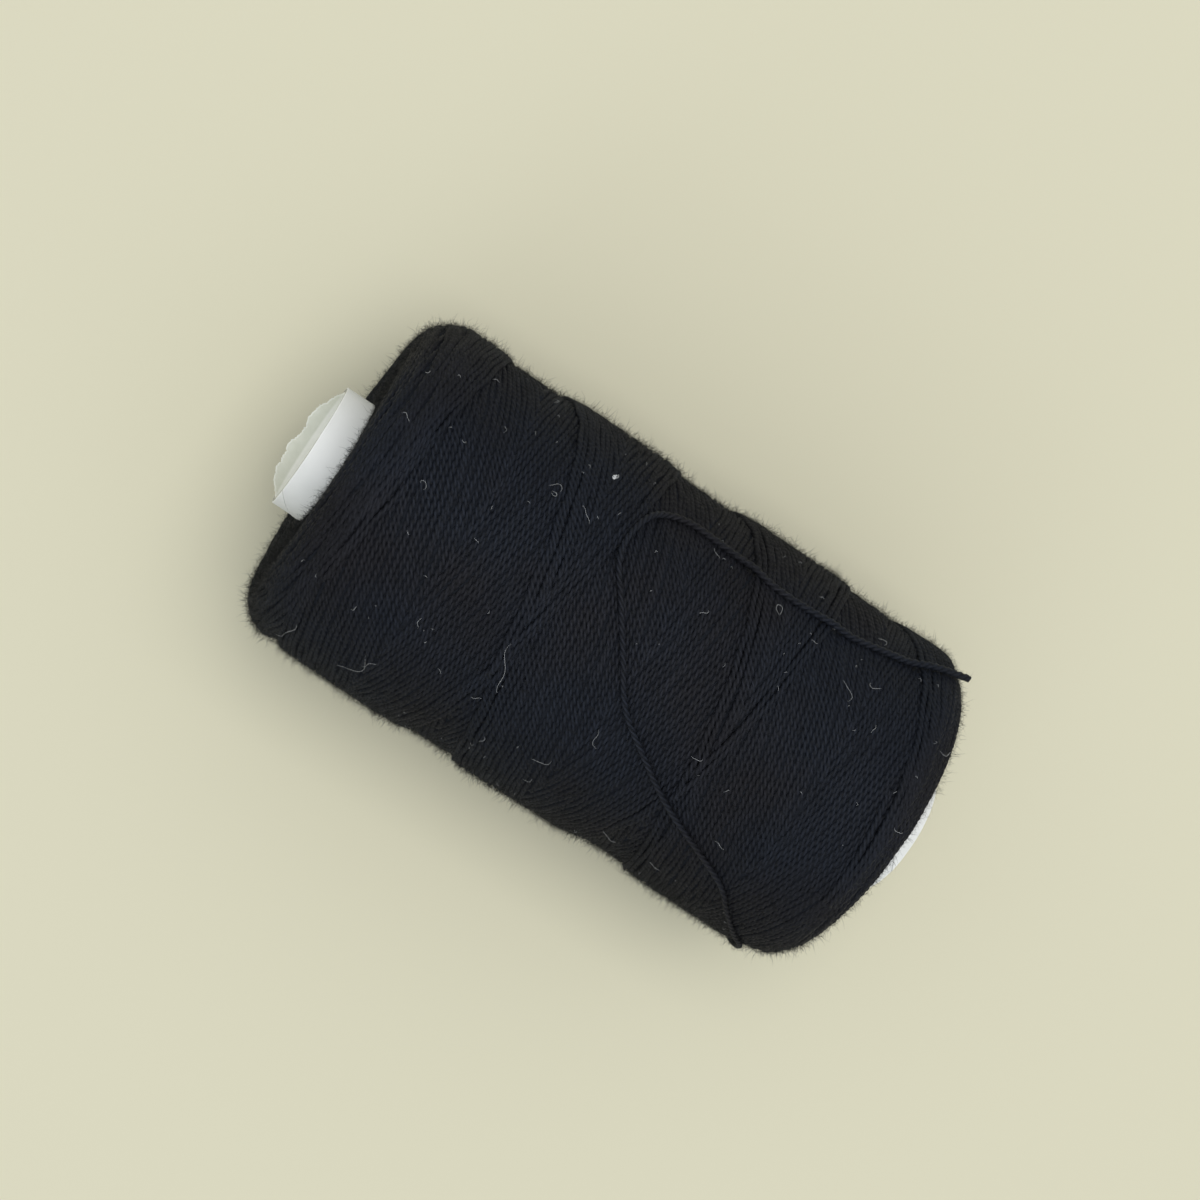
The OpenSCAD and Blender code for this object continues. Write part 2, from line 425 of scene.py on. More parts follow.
def curve_through(knots, steps):
    """Catmull-Rom curve: between two knots, a cubic whose slope at each is that of its neighbours."""
    padded = np.concatenate([knots[:1], knots, knots[-1:]])
    before, start, end, after = padded[:-3], padded[1:-2], padded[2:-1], padded[3:]
    t = (np.arange(steps) / steps)[None, :, None]
    a, b, c, d = (k[:, None] for k in (before, start, end, after))
    points = b + t / 2 * (c - a + t * (2 * a - 5 * b + 4 * c - d + t * (3 * b - a - 3 * c + d)))
    return np.concatenate([points.reshape(-1, 3), knots[-1:]])


def spaced(path, step):
    """The same path with its points a step apart."""
    at = length_along(path)
    wanted = np.linspace(0, at[-1], int(at[-1] / step) + 1)
    return np.stack([np.interp(wanted, at, path[:, k]) for k in range(3)], 1)


places = np.array(tail_route)
tail_points = round_axis(places[:, 0] * MM, wind_r + places[:, 2] * MM, np.radians(places[:, 1]))
tail_knots = np.concatenate([[tail_exit, tail_exit + thread_d * tail_heading], tail_points])
tail_path = spaced(curve_through(tail_knots, knot_steps), tail_step)
print(f"route of {length_along(tail_path)[-1] / MM:.1f} mm")

# %% [markdown]
# ## The loose end, laid down
#
# The route runs over a plain cylinder, and the real thread rests on the strands that stand highest
# under it. So each point of the route is lowered onto the highest surface close to it, evened out by
# a running mean.
# %% Loose tail
look_round = 8  # steps of the route to each side
even_over = 13  # steps of the route
tail_lift = 0.36 * MM  # from the surface to the thread's middle
settle = 8 * MM  # after the start
free_from = 42 * MM  # along the package, where it sticks out
free_ease = 6 * MM
tail_r = 0.42 * MM
untwisted = 0.15 * MM  # that its radius grows by
untwisted_from = 0.55  # of its length
untwisted_ease = 0.15


def laid_down(path):
    """The same path lowered onto the winding's surface, except at its start and where it sticks out."""
    x, y, z = path.T
    turned, reach = np.arctan2(y, z), np.hypot(y, z)
    under = surface_height(x, turned) + swell(x, turned)
    highest = np.max([np.roll(under, k) for k in range(-look_round, look_round + 1, 2)], 0)
    lying = wind_r + np.convolve(highest, np.ones(even_over) / even_over, "same") + tail_lift
    share = smooth(length_along(path) / settle) * smooth((free_from - x) / free_ease)
    return round_axis(x, reach + share * np.minimum(lying - reach, 0), turned)


tail_path = laid_down(tail_path)
tail_up = unit(tail_path * (0, 1, 1))
tail_length = length_along(tail_path)[-1]
tail_share = np.linspace(0, 1, len(tail_path))
tail_radius = tail_r + untwisted * smooth((tail_share - untwisted_from) / untwisted_ease)
tail_grid, tail_pitches = thread_grid(tail_path, tail_up, tail_radius, sides=15, spread=0.42)
loose_tail = join_grids("loose_tail_thread", [tail_grid], [tail_pitches], shades=[0.7])
print(f"loose tail {tail_length / MM:.1f} mm, {triangles(loose_tail)} triangles")

# %% [markdown]
# ## The outer strands
#
# Each herringbone line starts two fans of strands, one to each side, which are mirror images. A strand
# is worked out as one array: how far it has turned since the line gives its angle, its distance along
# the package, and the age of the thread that it crosses, which gives its height. At the line it comes
# up from under a newer strand, and at its far end it goes flat under the newest one. At the two
# ends of the package the thread turns back instead, in a tight bend.
#
# A few slow waves, different for each strand, keep them from looking like a machine drawing.
# %% Strands of the outer layer
chance = np.random.default_rng(7)
ring_step = 0.45 * MM
strand_sides = 6
strand_r = 0.52 * MM
strand_spread = 0.38
round_it = TURN * wind_r
come_up = 2.4 * MM  # in which a strand comes up to its line
hidden = 1.4  # of those lengths before its line, where it starts
run_under = 5 * MM  # past where the newest strand covers it
end_before = 0.07  # turns before an end line, where it starts
end_clear = 0.035  # turns past an end line, where it lies free
end_rise = 0.09  # turns in which it comes up there
drift_turns = 0.45  # in which a line's drift dies out
end_drift = 0.3 * MM
end_drift_turns = 0.1
age_scatter = 0.12  # of the step to the next pass
slow_wave = 0.14 * MM
lift_wave = 0.05 * MM


def waves(turned, size, rng):
    """Half the sum of three sines over the turns, with rates and starts of their own, times a size."""
    per_turn = rng.uniform(3, 28, 3)
    starts = rng.uniform(0, TURN, 3)
    return size * np.sin(TURN * turned[:, None] * per_turn + starts).mean(1) * 1.5


def on_floor(grid):
    """The same points, with any that would lie under the floor pressed up onto it."""
    grid[..., 2] = np.maximum(grid[..., 2], rest_z)
    return grid


def bundle(name, threads, shades):
    """Joins threads, each a grid with its lengths, to one object that stays above the floor."""
    return join_grids(name, [on_floor(grid) for grid, _ in threads], [u for _, u in threads], shades)


def strand(line, side, age, rng):
    """One visible strand. With q turns since the line, its angle is the newest tip's plus age and q,
    its distance from the line is travel * q, bent round at an end line, and its height falls by a
    layer for each whole age of itself and of the strand it crosses, which is age + 2q."""
    at_end = abs(line) == end_line
    before = end_before if at_end else come_up / round_it * hidden
    after = (1 - age) / 2 + run_under / round_it
    count = int((before + after) * round_it / ring_step) + 2
    q = np.linspace(-before, after, count)
    angle = tip_angle + TURN * (age + (line - 1) / 2 + q)
    run = np.sqrt(q ** 2 + turn_bend ** 2) if at_end else q
    drift = line_drift[line + end_line] * MM * (1 - smooth(q / drift_turns))
    if at_end:
        drift = rng.normal(0, end_drift) * (1 - smooth(np.abs(q) / end_drift_turns))
    along = line_middle + line * line_step + drift + side * travel * run + waves(q, slow_wave, rng)
    under = smooth((end_clear - q) / end_rise) if at_end else smooth(-q * round_it / come_up)
    level = newest - layer * (2 * age + 2 * q) - thread_d * under - pulled_down(age)
    height = level - thread_d / 2 + waves(q, lift_wave, rng) + swell(along, angle)
    path, up = skin(along, angle, height)
    return thread_grid(path, up, strand_r, strand_sides, strand_spread, start=rng.uniform(0, TURN))


def fan(line, rng):
    """Every strand that starts from one herringbone line, as one object."""
    sides = [1, -1] if abs(line) < end_line else [-np.sign(line)]
    age_list = (np.arange(passes) + 0.5 + rng.normal(0, age_scatter, passes)) / passes
    made = [strand(line, side, age, rng) for side in sides for age in age_list]
    return bundle(f"wound_strands_{line + end_line + 1}", made, rng.uniform(0, 1, len(made)))


fans = [fan(line, chance) for line in range(-end_line, end_line + 1)]
print("strands:", ", ".join(f"{made.name} {triangles(made)}" for made in fans))

# %% [markdown]
# ## Shoulders and ends
#
# At each end the thread turns back in a bend, and older bends lie further out and down, because a
# winder shortens its stroke as the package grows. So a shoulder is made of bands of short arcs: each
# starts flat, comes up from under its neighbour, leans inwards as it goes round, and dives under the
# band above it.
# %% Arcs of the shoulders and end faces
band_width = 1.3 * MM
band_arcs = 24
band_turn = 0.37  # turns from a band's first arc to that of the next
arc_from, arc_to = -0.04, 0.115  # turns from an arc's outermost place to its ends
arc_step = 1.3 * ring_step
free_arc_from, free_arc_to = -0.005, 0.075  # turns between which it lies free
arc_rise, arc_dive = 0.035, 0.04
dive_depth = 0.7 * MM
arc_depth = 0.45 * MM
arc_scatter = 0.15  # of the step to the next arc
apex_scatter = 0.16 * MM
arc_wave = 0.08 * MM
arc_lift_wave = 0.06 * MM
end_fade = 3 * MM  # over which the pattern of ages dies out
first_band = end_line * line_step - travel * turn_bend - band_width
face_end = shoulder_x + shoulder_r * math.pi / 2 + (wind_r - shoulder_r - tube_r)


def arc(side, band, share, rng):
    """One bend of an older layer, from where it comes up to where it goes under. At q turns from its
    outermost place it has gone inward by travel * (sqrt(q^2 + bend^2) - bend), a hyperbola."""
    radius = wind_r - max(0.0, first_band + band * band_width - shoulder_x - shoulder_r)
    q = np.linspace(arc_from, arc_to, int((arc_to - arc_from) * TURN * radius / arc_step) + 2)
    angle = tip_angle + TURN * (share + band_turn * band + q)
    inward = travel * (np.sqrt(q ** 2 + turn_bend ** 2) - turn_bend)
    apex = first_band + band_width * (band + share) + rng.normal(0, apex_scatter)
    along = side * (apex - inward + waves(q, arc_wave, rng)) + line_middle
    along = np.clip(along, -face_end + thread_d / 2, face_end - thread_d / 2)
    dive = smooth((free_arc_from - q) / arc_rise) + smooth((q - free_arc_to) / arc_dive)
    fade = 1 - smooth((apex - first_band) / end_fade)
    at_line = surface_height(np.full(len(q), line_middle + side * end_line * line_step), angle)
    level = at_line * fade + swell(along, angle) - arc_depth - dive_depth * dive
    path, up = skin(along, angle, level + waves(q, arc_lift_wave, rng))
    return thread_grid(path, up, strand_r, strand_sides, strand_spread, start=rng.uniform(0, TURN))


def shoulder(name, side, rng):
    """All the bands of arcs at one end, as one object."""
    bands = int((face_end - first_band) / band_width) + 1
    made = [arc(side, band, (k + rng.normal(0, arc_scatter)) / band_arcs, rng)
            for band in range(bands) for k in range(band_arcs)]
    return bundle(name, made, rng.uniform(0, 1, len(made)))


end_arcs = [shoulder("end_turns_left", -1, chance), shoulder("end_turns_right", 1, chance)]
print("ends:", ", ".join(f"{made.name} {triangles(made)}" for made in end_arcs))

# %% [markdown]
# ## What lies under the strands
#
# Between strands one sees the next ones down, deep in shadow. A closed body follows the surface a
# little below the strands' middles and stops any look inside. It has a bore for the tube.
# %% Packed layers below
below = 0.24 * MM
near_along = 1.2 * MM  # how far off the lowest surface is looked for
near_round = 3 * near_along
end_level = -0.2 * MM  # of the surface past the end lines
body_columns = 144
body_row_count = 110

body_angles = TURN * np.arange(body_columns) / body_columns
reach_along = np.linspace(-face_end, face_end, body_row_count)
rows_along, rows_angle = np.meshgrid(reach_along, body_angles, indexing="ij")
near = [surface_height(rows_along + ahead, rows_angle + around / wind_r)
        for ahead in (-near_along, 0, near_along) for around in (-near_round, 0, near_round)]
in_middle = smooth((end_line * line_step - np.abs(rows_along - line_middle)) / end_fade)
lowest = np.min(near, 0) * in_middle + end_level * (1 - in_middle)
body_rows, _ = skin(rows_along, rows_angle, lowest - below + swell(rows_along, rows_angle))
left_face, right_face = body_rows[0], body_rows[-1]
bore = [round_axis(face[:, 0].mean(), tube_r, body_angles) for face in (right_face, left_face)]
body_grid = on_floor(np.concatenate([body_rows, bore, left_face[None]])[:, ::-1])
body_lengths = np.arange(len(body_grid)).astype(float)
packed_layers = join_grids("packed_layers", [body_grid], [body_lengths], shades=[0.2], capped=False)
print("packed layers", triangles(packed_layers))

# %% [markdown]
# ## Fibres
#
# Spun thread is made of short fibres, and thousands of their ends stand off it. They make the soft
# edge of the package. Each is a thin closed sliver of six faces with one bend: a point at its root, a
# ring of three points at the bend, and a point at its tip. They all come from one array of places
# over the surface and one of directions.
# %% Fuzz
fuzz_r = 0.019 * MM
bend_at = 0.45  # of a hair's length
off_line = (0.01, 0.02, 0.03)  # keeps two directions off one line
sliver = np.array([(0, 2, 1), (0, 3, 2), (0, 1, 3), (1, 2, 4), (2, 3, 4), (3, 1, 4)])


def hairs(name, roots, facing, lengths, rng):
    """Bent slivers from these roots. Each leans by chance, and at its bend turns another way."""
    count = len(roots)
    drift = unit(rng.normal(0, 1, (count, 3)))
    lean = unit(facing * rng.uniform(0.1, 1.1, (count, 1)) + drift)
    bent = unit(lean + unit(rng.normal(0, 1, (count, 3))) * rng.uniform(0.6, 1.8, (count, 1)))
    side = unit(np.cross(lean, drift + off_line))
    other = np.cross(lean, side)
    elbow = roots + lean * lengths[:, None] * bend_at
    tip = elbow + bent * lengths[:, None] * (1 - bend_at)
    ring = TURN * np.arange(3) / 3
    spokes = np.cos(ring)[None, :, None] * side[:, None] + np.sin(ring)[None, :, None] * other[:, None]
    points = np.concatenate([roots[:, None], elbow[:, None] + fuzz_r * spokes, tip[:, None]], 1)
    corners = (sliver[None] + points.shape[1] * np.arange(count)[:, None, None]).reshape(-1)
    return mesh_object(name, on_floor(points).reshape(-1, 3), corners, np.full(count * len(sliver), 3))


print(len(sliver), "faces to a hair, which is", round(2 * fuzz_r / MM, 3), "mm thick")

# %% [markdown]
# ## Where the fibres stand
#
# More hairs stand on the two sides, where the package has been rubbed. They get shorter towards the
# tube, because long ones would reach through its wall. The loose tail has hairs of its own.
# %% Fuzz of the package and of the tail
piece_hairs = 26000
fuzz_pieces = 5
end_hairs = 6000
tail_hair_count = 3500
anywhere = 0.67  # of the hairs; the rest are on the sides
side_angle, side_scatter = 78, 22  # degrees from the top
hair_shape, hair_scale = 2.4, 0.4  # of the spread of lengths, in mm
shortest, longest = 0.35, 2.6  # mm
root_lift = 0.02 * MM
end_root = -0.1 * MM  # level of the roots past the end lines
near_end_line = 2 * MM
short_over = 5 * MM  # next to the tube
short_share = 0.3
past_face = 0.5 * MM
end_strip = 2.5 * MM
fuzz_end = face_end - 1.2 * MM
tail_root = 0.33  # mm from the middle of the tail


def package_fuzz(name, along, longer, rng):
    """Hairs at these distances along the winding's surface, most of them short. Two in three stand
    anywhere round it, and the rest on its two sides, two in three of those in front."""
    count = len(along)
    on_side = np.radians(rng.normal(side_angle, side_scatter, count)) * rng.choice((-1, -1, 1), count)
    everywhere = rng.uniform(0, 1, count) < anywhere
    angle = np.where(everywhere, rng.uniform(-math.pi, math.pi, count), on_side)
    inside = np.abs(along - line_middle) < end_line * line_step - near_end_line
    level = np.where(inside, surface_height(along, angle), end_root)
    roots, facing = skin(along, angle, level + swell(along, angle) + root_lift)
    near_end = np.clip((face_end + past_face - np.abs(along)) / short_over, short_share, 1)
    random_length = np.clip(rng.gamma(hair_shape, hair_scale, count), shortest, longest)
    return hairs(name, roots, facing, longer * near_end * random_length * MM, rng)


fuzz = [package_fuzz(f"fibre_fuzz_{k + 1}", chance.uniform(-fuzz_end, fuzz_end, piece_hairs), 1.0, chance)
        for k in range(fuzz_pieces)]
near_tube = (face_end - chance.uniform(0, end_strip, end_hairs)) * chance.choice((-1, 1), end_hairs)
fuzz.append(package_fuzz("fibre_fuzz_ends", near_tube, 1.3, chance))
tail_at = chance.integers(0, len(tail_path), tail_hair_count)
tail_side = unit(chance.normal(0, 1, (tail_hair_count, 3)))
tail_hairs = hairs("tail_fuzz", tail_path[tail_at] + tail_side * tail_root * MM, tail_side,
                   chance.gamma(3.0, 0.22, tail_hair_count) * MM, chance)
print("hairs:", ", ".join(f"{made.name} {triangles(made)}" for made in fuzz + [tail_hairs]))

# %% [markdown]
# ## Lint
#
# Black thread picks up every white fibre. Each bit of lint is a short curl: a thin tube along a
# curve that starts at a place on the package, sets off at a heading, and curls by so many degrees
# over its length. The larger ones are listed one by one, and dust is strewn by chance between them.
# %% Lint
lint = [  # along mm, angle, heading, length mm, curl in degrees
    (-23.4, 31, 80, 2.2, -150), (-22.6, 30, -60, 1.6, 260), (-18.1, 31, -10, 2.2, -60),
    (14.3, 37, 40, 3.0, 300), (1.9, 48, -60, 1.7, 40), (3.9, 23, 20, 1.6, 60), (27.1, 32, 10, 2.8, -120),
    (31.4, 55, 60, 1.8, 160), (33.1, 38, -90, 2.2, -170), (34.4, 22, 70, 1.2, 30), (44.3, 30, 10, 2.6, 50),
    (-38.1, 8, 0, 1.8, 300), (-46.1, 42, -60, 1.2, 170), (-45.9, 24, 20, 1.5, -90), (-32.6, 38, 60, 1.1, 80),
    (-37.1, 28, -80, 1.0, 180), (-37.4, 56, 0, 1.0, 30), (-27.7, 67, 40, 1.6, 90), (-12.0, 62, 80, 0.8, 20),
    (-10.1, 55, 60, 0.6, 0), (-13.2, 35, 30, 0.8, 40), (-28.7, 14, 80, 0.6, 20), (-28.6, 4, 40, 0.9, -90),
    (20.1, 37, -30, 1.1, 60), (19.1, 55, 10, 0.8, 0), (12.3, 63, 60, 0.6, 0), (10.9, 13, 90, 0.7, 0),
    (44.1, 2, -70, 1.6, 140), (42.7, 18, 0, 0.5, 0), (29.7, -5, 0, 0.5, 0), (-15.9, -15, -95, 6.0, 50),
    (-15.9, -39, 60, 1.4, -50), (1.2, -23, -80, 2.6, 30), (-1.1, -42, -80, 2.6, -120),
    (-41.3, -54, -60, 5.0, -80), (-33.2, -62, 40, 6.0, 60), (-30.5, -54, 80, 2.4, -40),
    (12.1, -58, -50, 2.2, 60), (20.4, -59, 40, 1.8, -100), (-2.0, -58, 20, 1.4, 60),
    (15.4, -12, -80, 1.6, -140), (20.7, -18, 30, 1.0, 40), (24.6, -34, 20, 1.6, -60),
    (-36.9, -35, 10, 1.0, 90), (-22.1, -36, 0, 1.0, -60), (-28.1, -24, -85, 1.5, 20),
    (-10.4, -54, 70, 1.6, 30), (-46.5, -33, 60, 0.8, 0), (-20.0, 150, 30, 3.0, 120),
    (10.0, 165, 70, 2.0, -160), (30.0, 130, -40, 2.5, 90), (-35.0, -150, 20, 3.5, 60),
    (5.0, -140, -60, 2.2, 200), (25.0, -120, 40, 1.8, -80), (-8.0, 110, 10, 2.6, 140),
    (38.0, 170, 50, 1.5, 30),
]
dust_count = 150
dust_ranges = [(-44, 44), (-180, 180), (0, 360), (0.15, 0.7), (-200, 200)]  # of the same five
dust = np.stack([chance.uniform(low, high, dust_count) for low, high in dust_ranges], 1)
lint_r = 0.014 * MM
lint_step = 0.12  # mm
slack = 1.4  # times the length that the list gives
lint_low, lint_arch = 0.1, 0.25  # mm over the strands


def lint_grid(along, angle, heading, length, curl):
    """Thin tube along a curl. Its heading turns by `curl` degrees over the length, with a slow wave on
    top. It arches up in its middle, and its radius falls to 0.4 of itself at both ends."""
    steps = max(6, int(length / lint_step))
    share = np.linspace(0, 1, steps)
    way = np.radians(heading + curl * share) + 0.5 * np.sin(share * 7 + heading)
    ahead = np.cumsum(np.cos(way)) * slack * length * MM / steps
    across = np.cumsum(np.sin(way)) * slack * length * MM / steps
    far, turned = along * MM + ahead, math.radians(angle) + across / wind_r
    high = surface_height(np.full(steps, along * MM), np.full(steps, math.radians(angle)))
    path, up = skin(far, turned, high + (lint_low + lint_arch * np.sin(share * math.pi)) * MM)
    radius = lint_r * (1 - 0.6 * np.abs(2 * share - 1) ** 3)
    return thread_grid(path, up, radius, sides=5, spread=0.05)


lint_grids = [lint_grid(*row) for row in [*lint, *dust]]
lint_bits = bundle("lint_fibres", lint_grids, np.linspace(0, 1, len(lint_grids)))
print(len(lint_grids), "bits of lint,", triangles(lint_bits), "triangles")

# %% [markdown]
# ## The white speck
#
# One bit of lint is a little ball of fibre, about a millimetre across: a short thread on a spiral
# whose turns run into each other.
# %% White speck
speck_rings = 26
speck_r = 0.15 * MM
speck_share = np.linspace(0, 1, speck_rings)
speck_way = speck_share * 15
speck_x = 0.42 * speck_share + 0.2 * np.cos(speck_way)
speck_y = 0.55 * speck_share + 0.25 * np.sin(speck_way)
speck_z = 0.15 * np.sin(speck_way * 1.7)
speck_path = np.stack([speck_x, speck_y, speck_z], 1) * MM
speck_at, speck_up = skin(np.array(-15.7 * MM), np.array(math.radians(47.4)), np.array(speck_r))
speck_ups = np.tile(speck_up, (speck_rings, 1))
speck_thread = thread_grid(speck_at + speck_path, speck_ups, speck_r * (1.1 - speck_share), sides=6)
white_speck = bundle("white_speck", [speck_thread], [1.0])
print("speck", triangles(white_speck))

# %% [markdown]
# ## The paper tube
#
# The tube is wound from strips of paper that overlap in a spiral. Its white cover is a closed wall:
# out along the outside, over the rim, back along the inside. The lap is a small ridge, a
# paper's thickness high, that fades away behind its edge. The rims are a little uneven, because they
# were cut with a knife and have been knocked about. The board stays as the CAD model has it.
# %% Cover and lining
wall_columns = 288
wall_angles = TURN * np.arange(wall_columns) / wall_columns
wall_unit = 10 * MM  # to one unit of the texture coordinates
lap_pitch = -36 * MM
cover_lap = math.radians(-49) - TURN * tube_left / lap_pitch
lap_height = 0.12 * MM
lap_rise = 0.12 * MM
lap_fade = 1.5 * MM
rim_waves = (2, 3, 5, 9, 14, 23)  # in one turn
half_glue = 0.01 * MM
near_rim = np.array([0.0, 0.03, 0.1, 0.3, 0.6, 1.0, 1.5, 2.0, 2.5, 3.0, 3.6, 4.2, 5.0, 6.0, 8.0]) * MM
round_off = np.zeros(len(near_rim))
round_off[:2] = 0.5, 0.12  # of the wall's thickness, off each face


def wall_grid(left_edge, right_edge, outer_r, inner_r, lap_start):
    """Closed wall of a paper tube, turned round the axis. The profile goes out over the rims in two
    small steps, and the outside rises by the lap's height at the edge of the strip and fades."""
    middle = np.linspace(0.1, 0.9, 6)
    thick = outer_r - inner_r
    rounding = np.concatenate([round_off, 0 * middle, round_off[::-1]]) * thick
    left = left_edge[None] + near_rim[:, None]
    right = right_edge[None] - near_rim[::-1, None]
    between = left[-1:] + (right[:1] - left[-1:]) * middle[:, None]
    x = np.concatenate([left, between, right])
    spiral = (wall_angles[None] - lap_start - TURN * x / lap_pitch) % TURN
    behind = spiral * outer_r
    lap = lap_height * (1 - smooth(behind / lap_fade)) * smooth(behind / lap_rise)
    out_r = outer_r - rounding[:, None] + lap
    in_r = inner_r + rounding[:, None] + 0 * x
    x = np.concatenate([x, x[::-1], x[:1]])
    r = np.concatenate([out_r, in_r[::-1], out_r[:1]])
    return round_axis(x, r, wall_angles)


def paper_wall(name, left_edge, right_edge, outer_r, inner_r, lap_start):
    """Makes a paper wall as an object."""
    grid = wall_grid(left_edge, right_edge, outer_r, inner_r, lap_start)
    return join_grids(name, [grid], [grid[:, 0, 0] / wall_unit], shades=[0.5], capped=False)


def knocked(rng, size):
    """Small unevenness of a cut rim round the tube: a sum of sines with starts of their own, each
    divided by the root of how many waves it has, and the whole by 2.5."""
    bumps = sum(np.sin(k * wall_angles + rng.uniform(0, TURN)) / k ** 0.5 for k in rim_waves)
    return size * bumps / 2.5


cover_left = tube_left + knocked(chance, 0.05 * MM)
cover_right = tube_right + knocked(chance, 0.05 * MM)
cover_paper = paper_wall("cover_paper", cover_left, cover_right, tube_r, board_r + half_glue, cover_lap)
print("cover", triangles(cover_paper))

# %% [markdown]
# ## The lining's torn lip
#
# The lining is the same kind of wall. At the left end it was torn, and its lower half stands out of
# the mouth. The list gives how far, and unevenness, some slow and some by chance, makes it fibrous.
# %% Lining
lip_edge = [  # degrees round from the top, and mm past the tube's end
    (90, 0), (106, 0.1), (118, 0.45), (134, 1.0), (149, 1.7), (160, 2.15), (164, 1.8),
    (169, 1.55), (176, 1.8), (182, 1.9), (189, 2.3), (197, 2.0), (209, 2.0), (220, 1.8),
    (236, 1.2), (250, 0.3), (262, 0),
]
lip_angle, lip_out = np.array(lip_edge).T
round_from_top = np.degrees(wall_angles) % 360
torn = np.interp(round_from_top, lip_angle, lip_out, left=0, right=0) * MM
uneven = knocked(chance, 0.3 * MM) + chance.normal(0, 0.11 * MM, wall_columns)
lining_left = tube_left - torn + uneven * smooth(torn / (0.5 * MM))
lining_right = tube_right + knocked(chance, 0.04 * MM)
lining_paper = paper_wall("lining_paper", lining_left, lining_right, lining_r, bore_r, math.radians(100))
print("lining", triangles(lining_paper))

# %% [markdown]
# ## Shader maths
#
# A material is a small calculation at each point of a surface. `Wire` holds one value of it, and
# Python's own signs add the Math nodes, so a line of shader maths reads like a line of arithmetic.
# Any other node comes from `node`, which sets its settings first and then its sockets.
# %% Wires
class Wire:
    """One output socket in a material's tree, with arithmetic."""

    def __init__(self, socket):
        self.socket = socket
        self.tree = socket.id_data

    def node(self, kind, settings=None, **inputs):
        """Adds a node: its settings, then values or wires for its sockets, by name or _number."""
        made = self.tree.nodes.new("ShaderNode" + kind)
        for name, value in (settings or {}).items():
            setattr(made, name, value)
        for name, value in inputs.items():
            socket = made.inputs[int(name[1:]) if name[0] == "_" else name.replace("_", " ")]
            if isinstance(value, Wire):
                self.tree.links.new(value.socket, socket)
            else:
                socket.default_value = value
        return made

    def maths(self, operation, *values):
        """A Math node on these values."""
        inputs = {f"_{k}": value for k, value in enumerate(values)}
        return Wire(self.node("Math", {"operation": operation}, **inputs).outputs[0])

    def __add__(self, other):
        return self.maths("ADD", self, other)

    def __sub__(self, other):
        return self.maths("SUBTRACT", self, other)

    def __rsub__(self, other):
        return self.maths("SUBTRACT", other, self)

    def __mul__(self, other):
        return self.maths("MULTIPLY", self, other)

    def __truediv__(self, other):
        return self.maths("DIVIDE", self, other)

    def __pow__(self, other):
        return self.maths("POWER", self, other)

    __radd__ = __add__
    __rmul__ = __mul__

    def fraction(self):
        """What is left over a whole number."""
        return self.maths("FRACT", self)

    def size(self):
        """The value without its sign."""
        return self.maths("ABSOLUTE", self)

    def clipped(self, low, high):
        """The value from 0 at `low` to 1 at `high`, held outside."""
        made = self.node("MapRange", {"clamp": True}, Value=self, From_Min=low, From_Max=high)
        return Wire(made.outputs[0])

    def blend(self, colour, other):
        """Mixes two colours: the first where this value is 0, the other where it is 1."""
        made = self.node("Mix", {"data_type": "RGBA"}, _0=self, _6=colour, _7=other)
        return Wire(made.outputs[2])

    def parts(self):
        """The three numbers of a vector."""
        return [Wire(socket) for socket in self.node("SeparateXYZ", Vector=self).outputs]


def material(name, roughness, **fixed):
    """A new material with its shader and a first wire to start from, the Object coordinates."""
    made, tree, shader = plain_node_material(name, (0.5, 0.5, 0.5), roughness)
    for socket, value in fixed.items():
        shader.inputs[socket.replace("_", " ")].default_value = value
    start = tree.nodes.new("ShaderNodeTexCoord").outputs["Object"]
    return made, shader, Wire(start)


def noise(place, scale, detail=2.0, roughness=0.5):
    """Noise from 0 to 1 at a place."""
    made = place.node("TexNoise", Vector=place, Scale=scale, Detail=detail, Roughness=roughness)
    return Wire(made.outputs[0])


def vector(x, y, z):
    """One vector of three numbers, the first of them a wire."""
    return Wire(x.node("CombineXYZ", X=x, Y=y, Z=z).outputs[0])


def along_round(place):
    """The piece's own coordinates: the length along it, and the share of the way round it."""
    return Wire(place.node("UVMap", {"uv_map": "along_round"}).outputs[0]).parts()[:2]


def bumped(shader, height, distance, strength):
    """Lets a height bend the shader's normal."""
    made = height.node("Bump", Height=height, Distance=distance, Strength=strength)
    height.tree.links.new(made.outputs["Normal"], shader.inputs["Normal"])


def coloured(shader, colour):
    """Links a colour to the shader."""
    colour.tree.links.new(colour.socket, shader.inputs["Base Color"])


print("wires ready")

# %% [markdown]
# ## Black thread
#
# The dye is nearly black, and what shows is the lie of the fibres. Streaks run along each ply,
# painted shade darkens the grooves between plies and a painted highlight lightens the ply tops, and
# each strand is a little lighter or darker than the next. It all reads the thread's own coordinates,
# so that it follows every bend. Where the package has been rubbed, in patches, along its sides and
# ends, and a little over the right third, by which it is held, a fine grain takes the place of the
# plies.
# %% Thread material
thread_black, thread_shader, place = material(
    "black_thread", 0.58, Sheen_Weight=0.01, Sheen_Roughness=0.45, Specular_IOR_Level=0.12)
thread_shader.inputs["Sheen Tint"].default_value = (0.8, 0.88, 1.0, 1)
u, v = along_round(place)
shade = Wire(place.node("Attribute", {"attribute_name": "shade"}).outputs["Fac"])
groove = 1 - ((v * ply_count).fraction() * 2 - 1).size()
# Painted light: darker in the grooves between plies, lighter on the ply tops. The same mask also gives the
# plies their bump.
ply_relief_and_painted_light = groove.clipped(1.0, 0.15) * 0.88 + 0.12
streaks = noise(vector(u * 4 + v * 3, v * 18, shade * 40), 1.0, 3.0, 0.6)
slow = noise(vector(u * 0.35, shade * 90, 0.0), 1.0, 1.0)
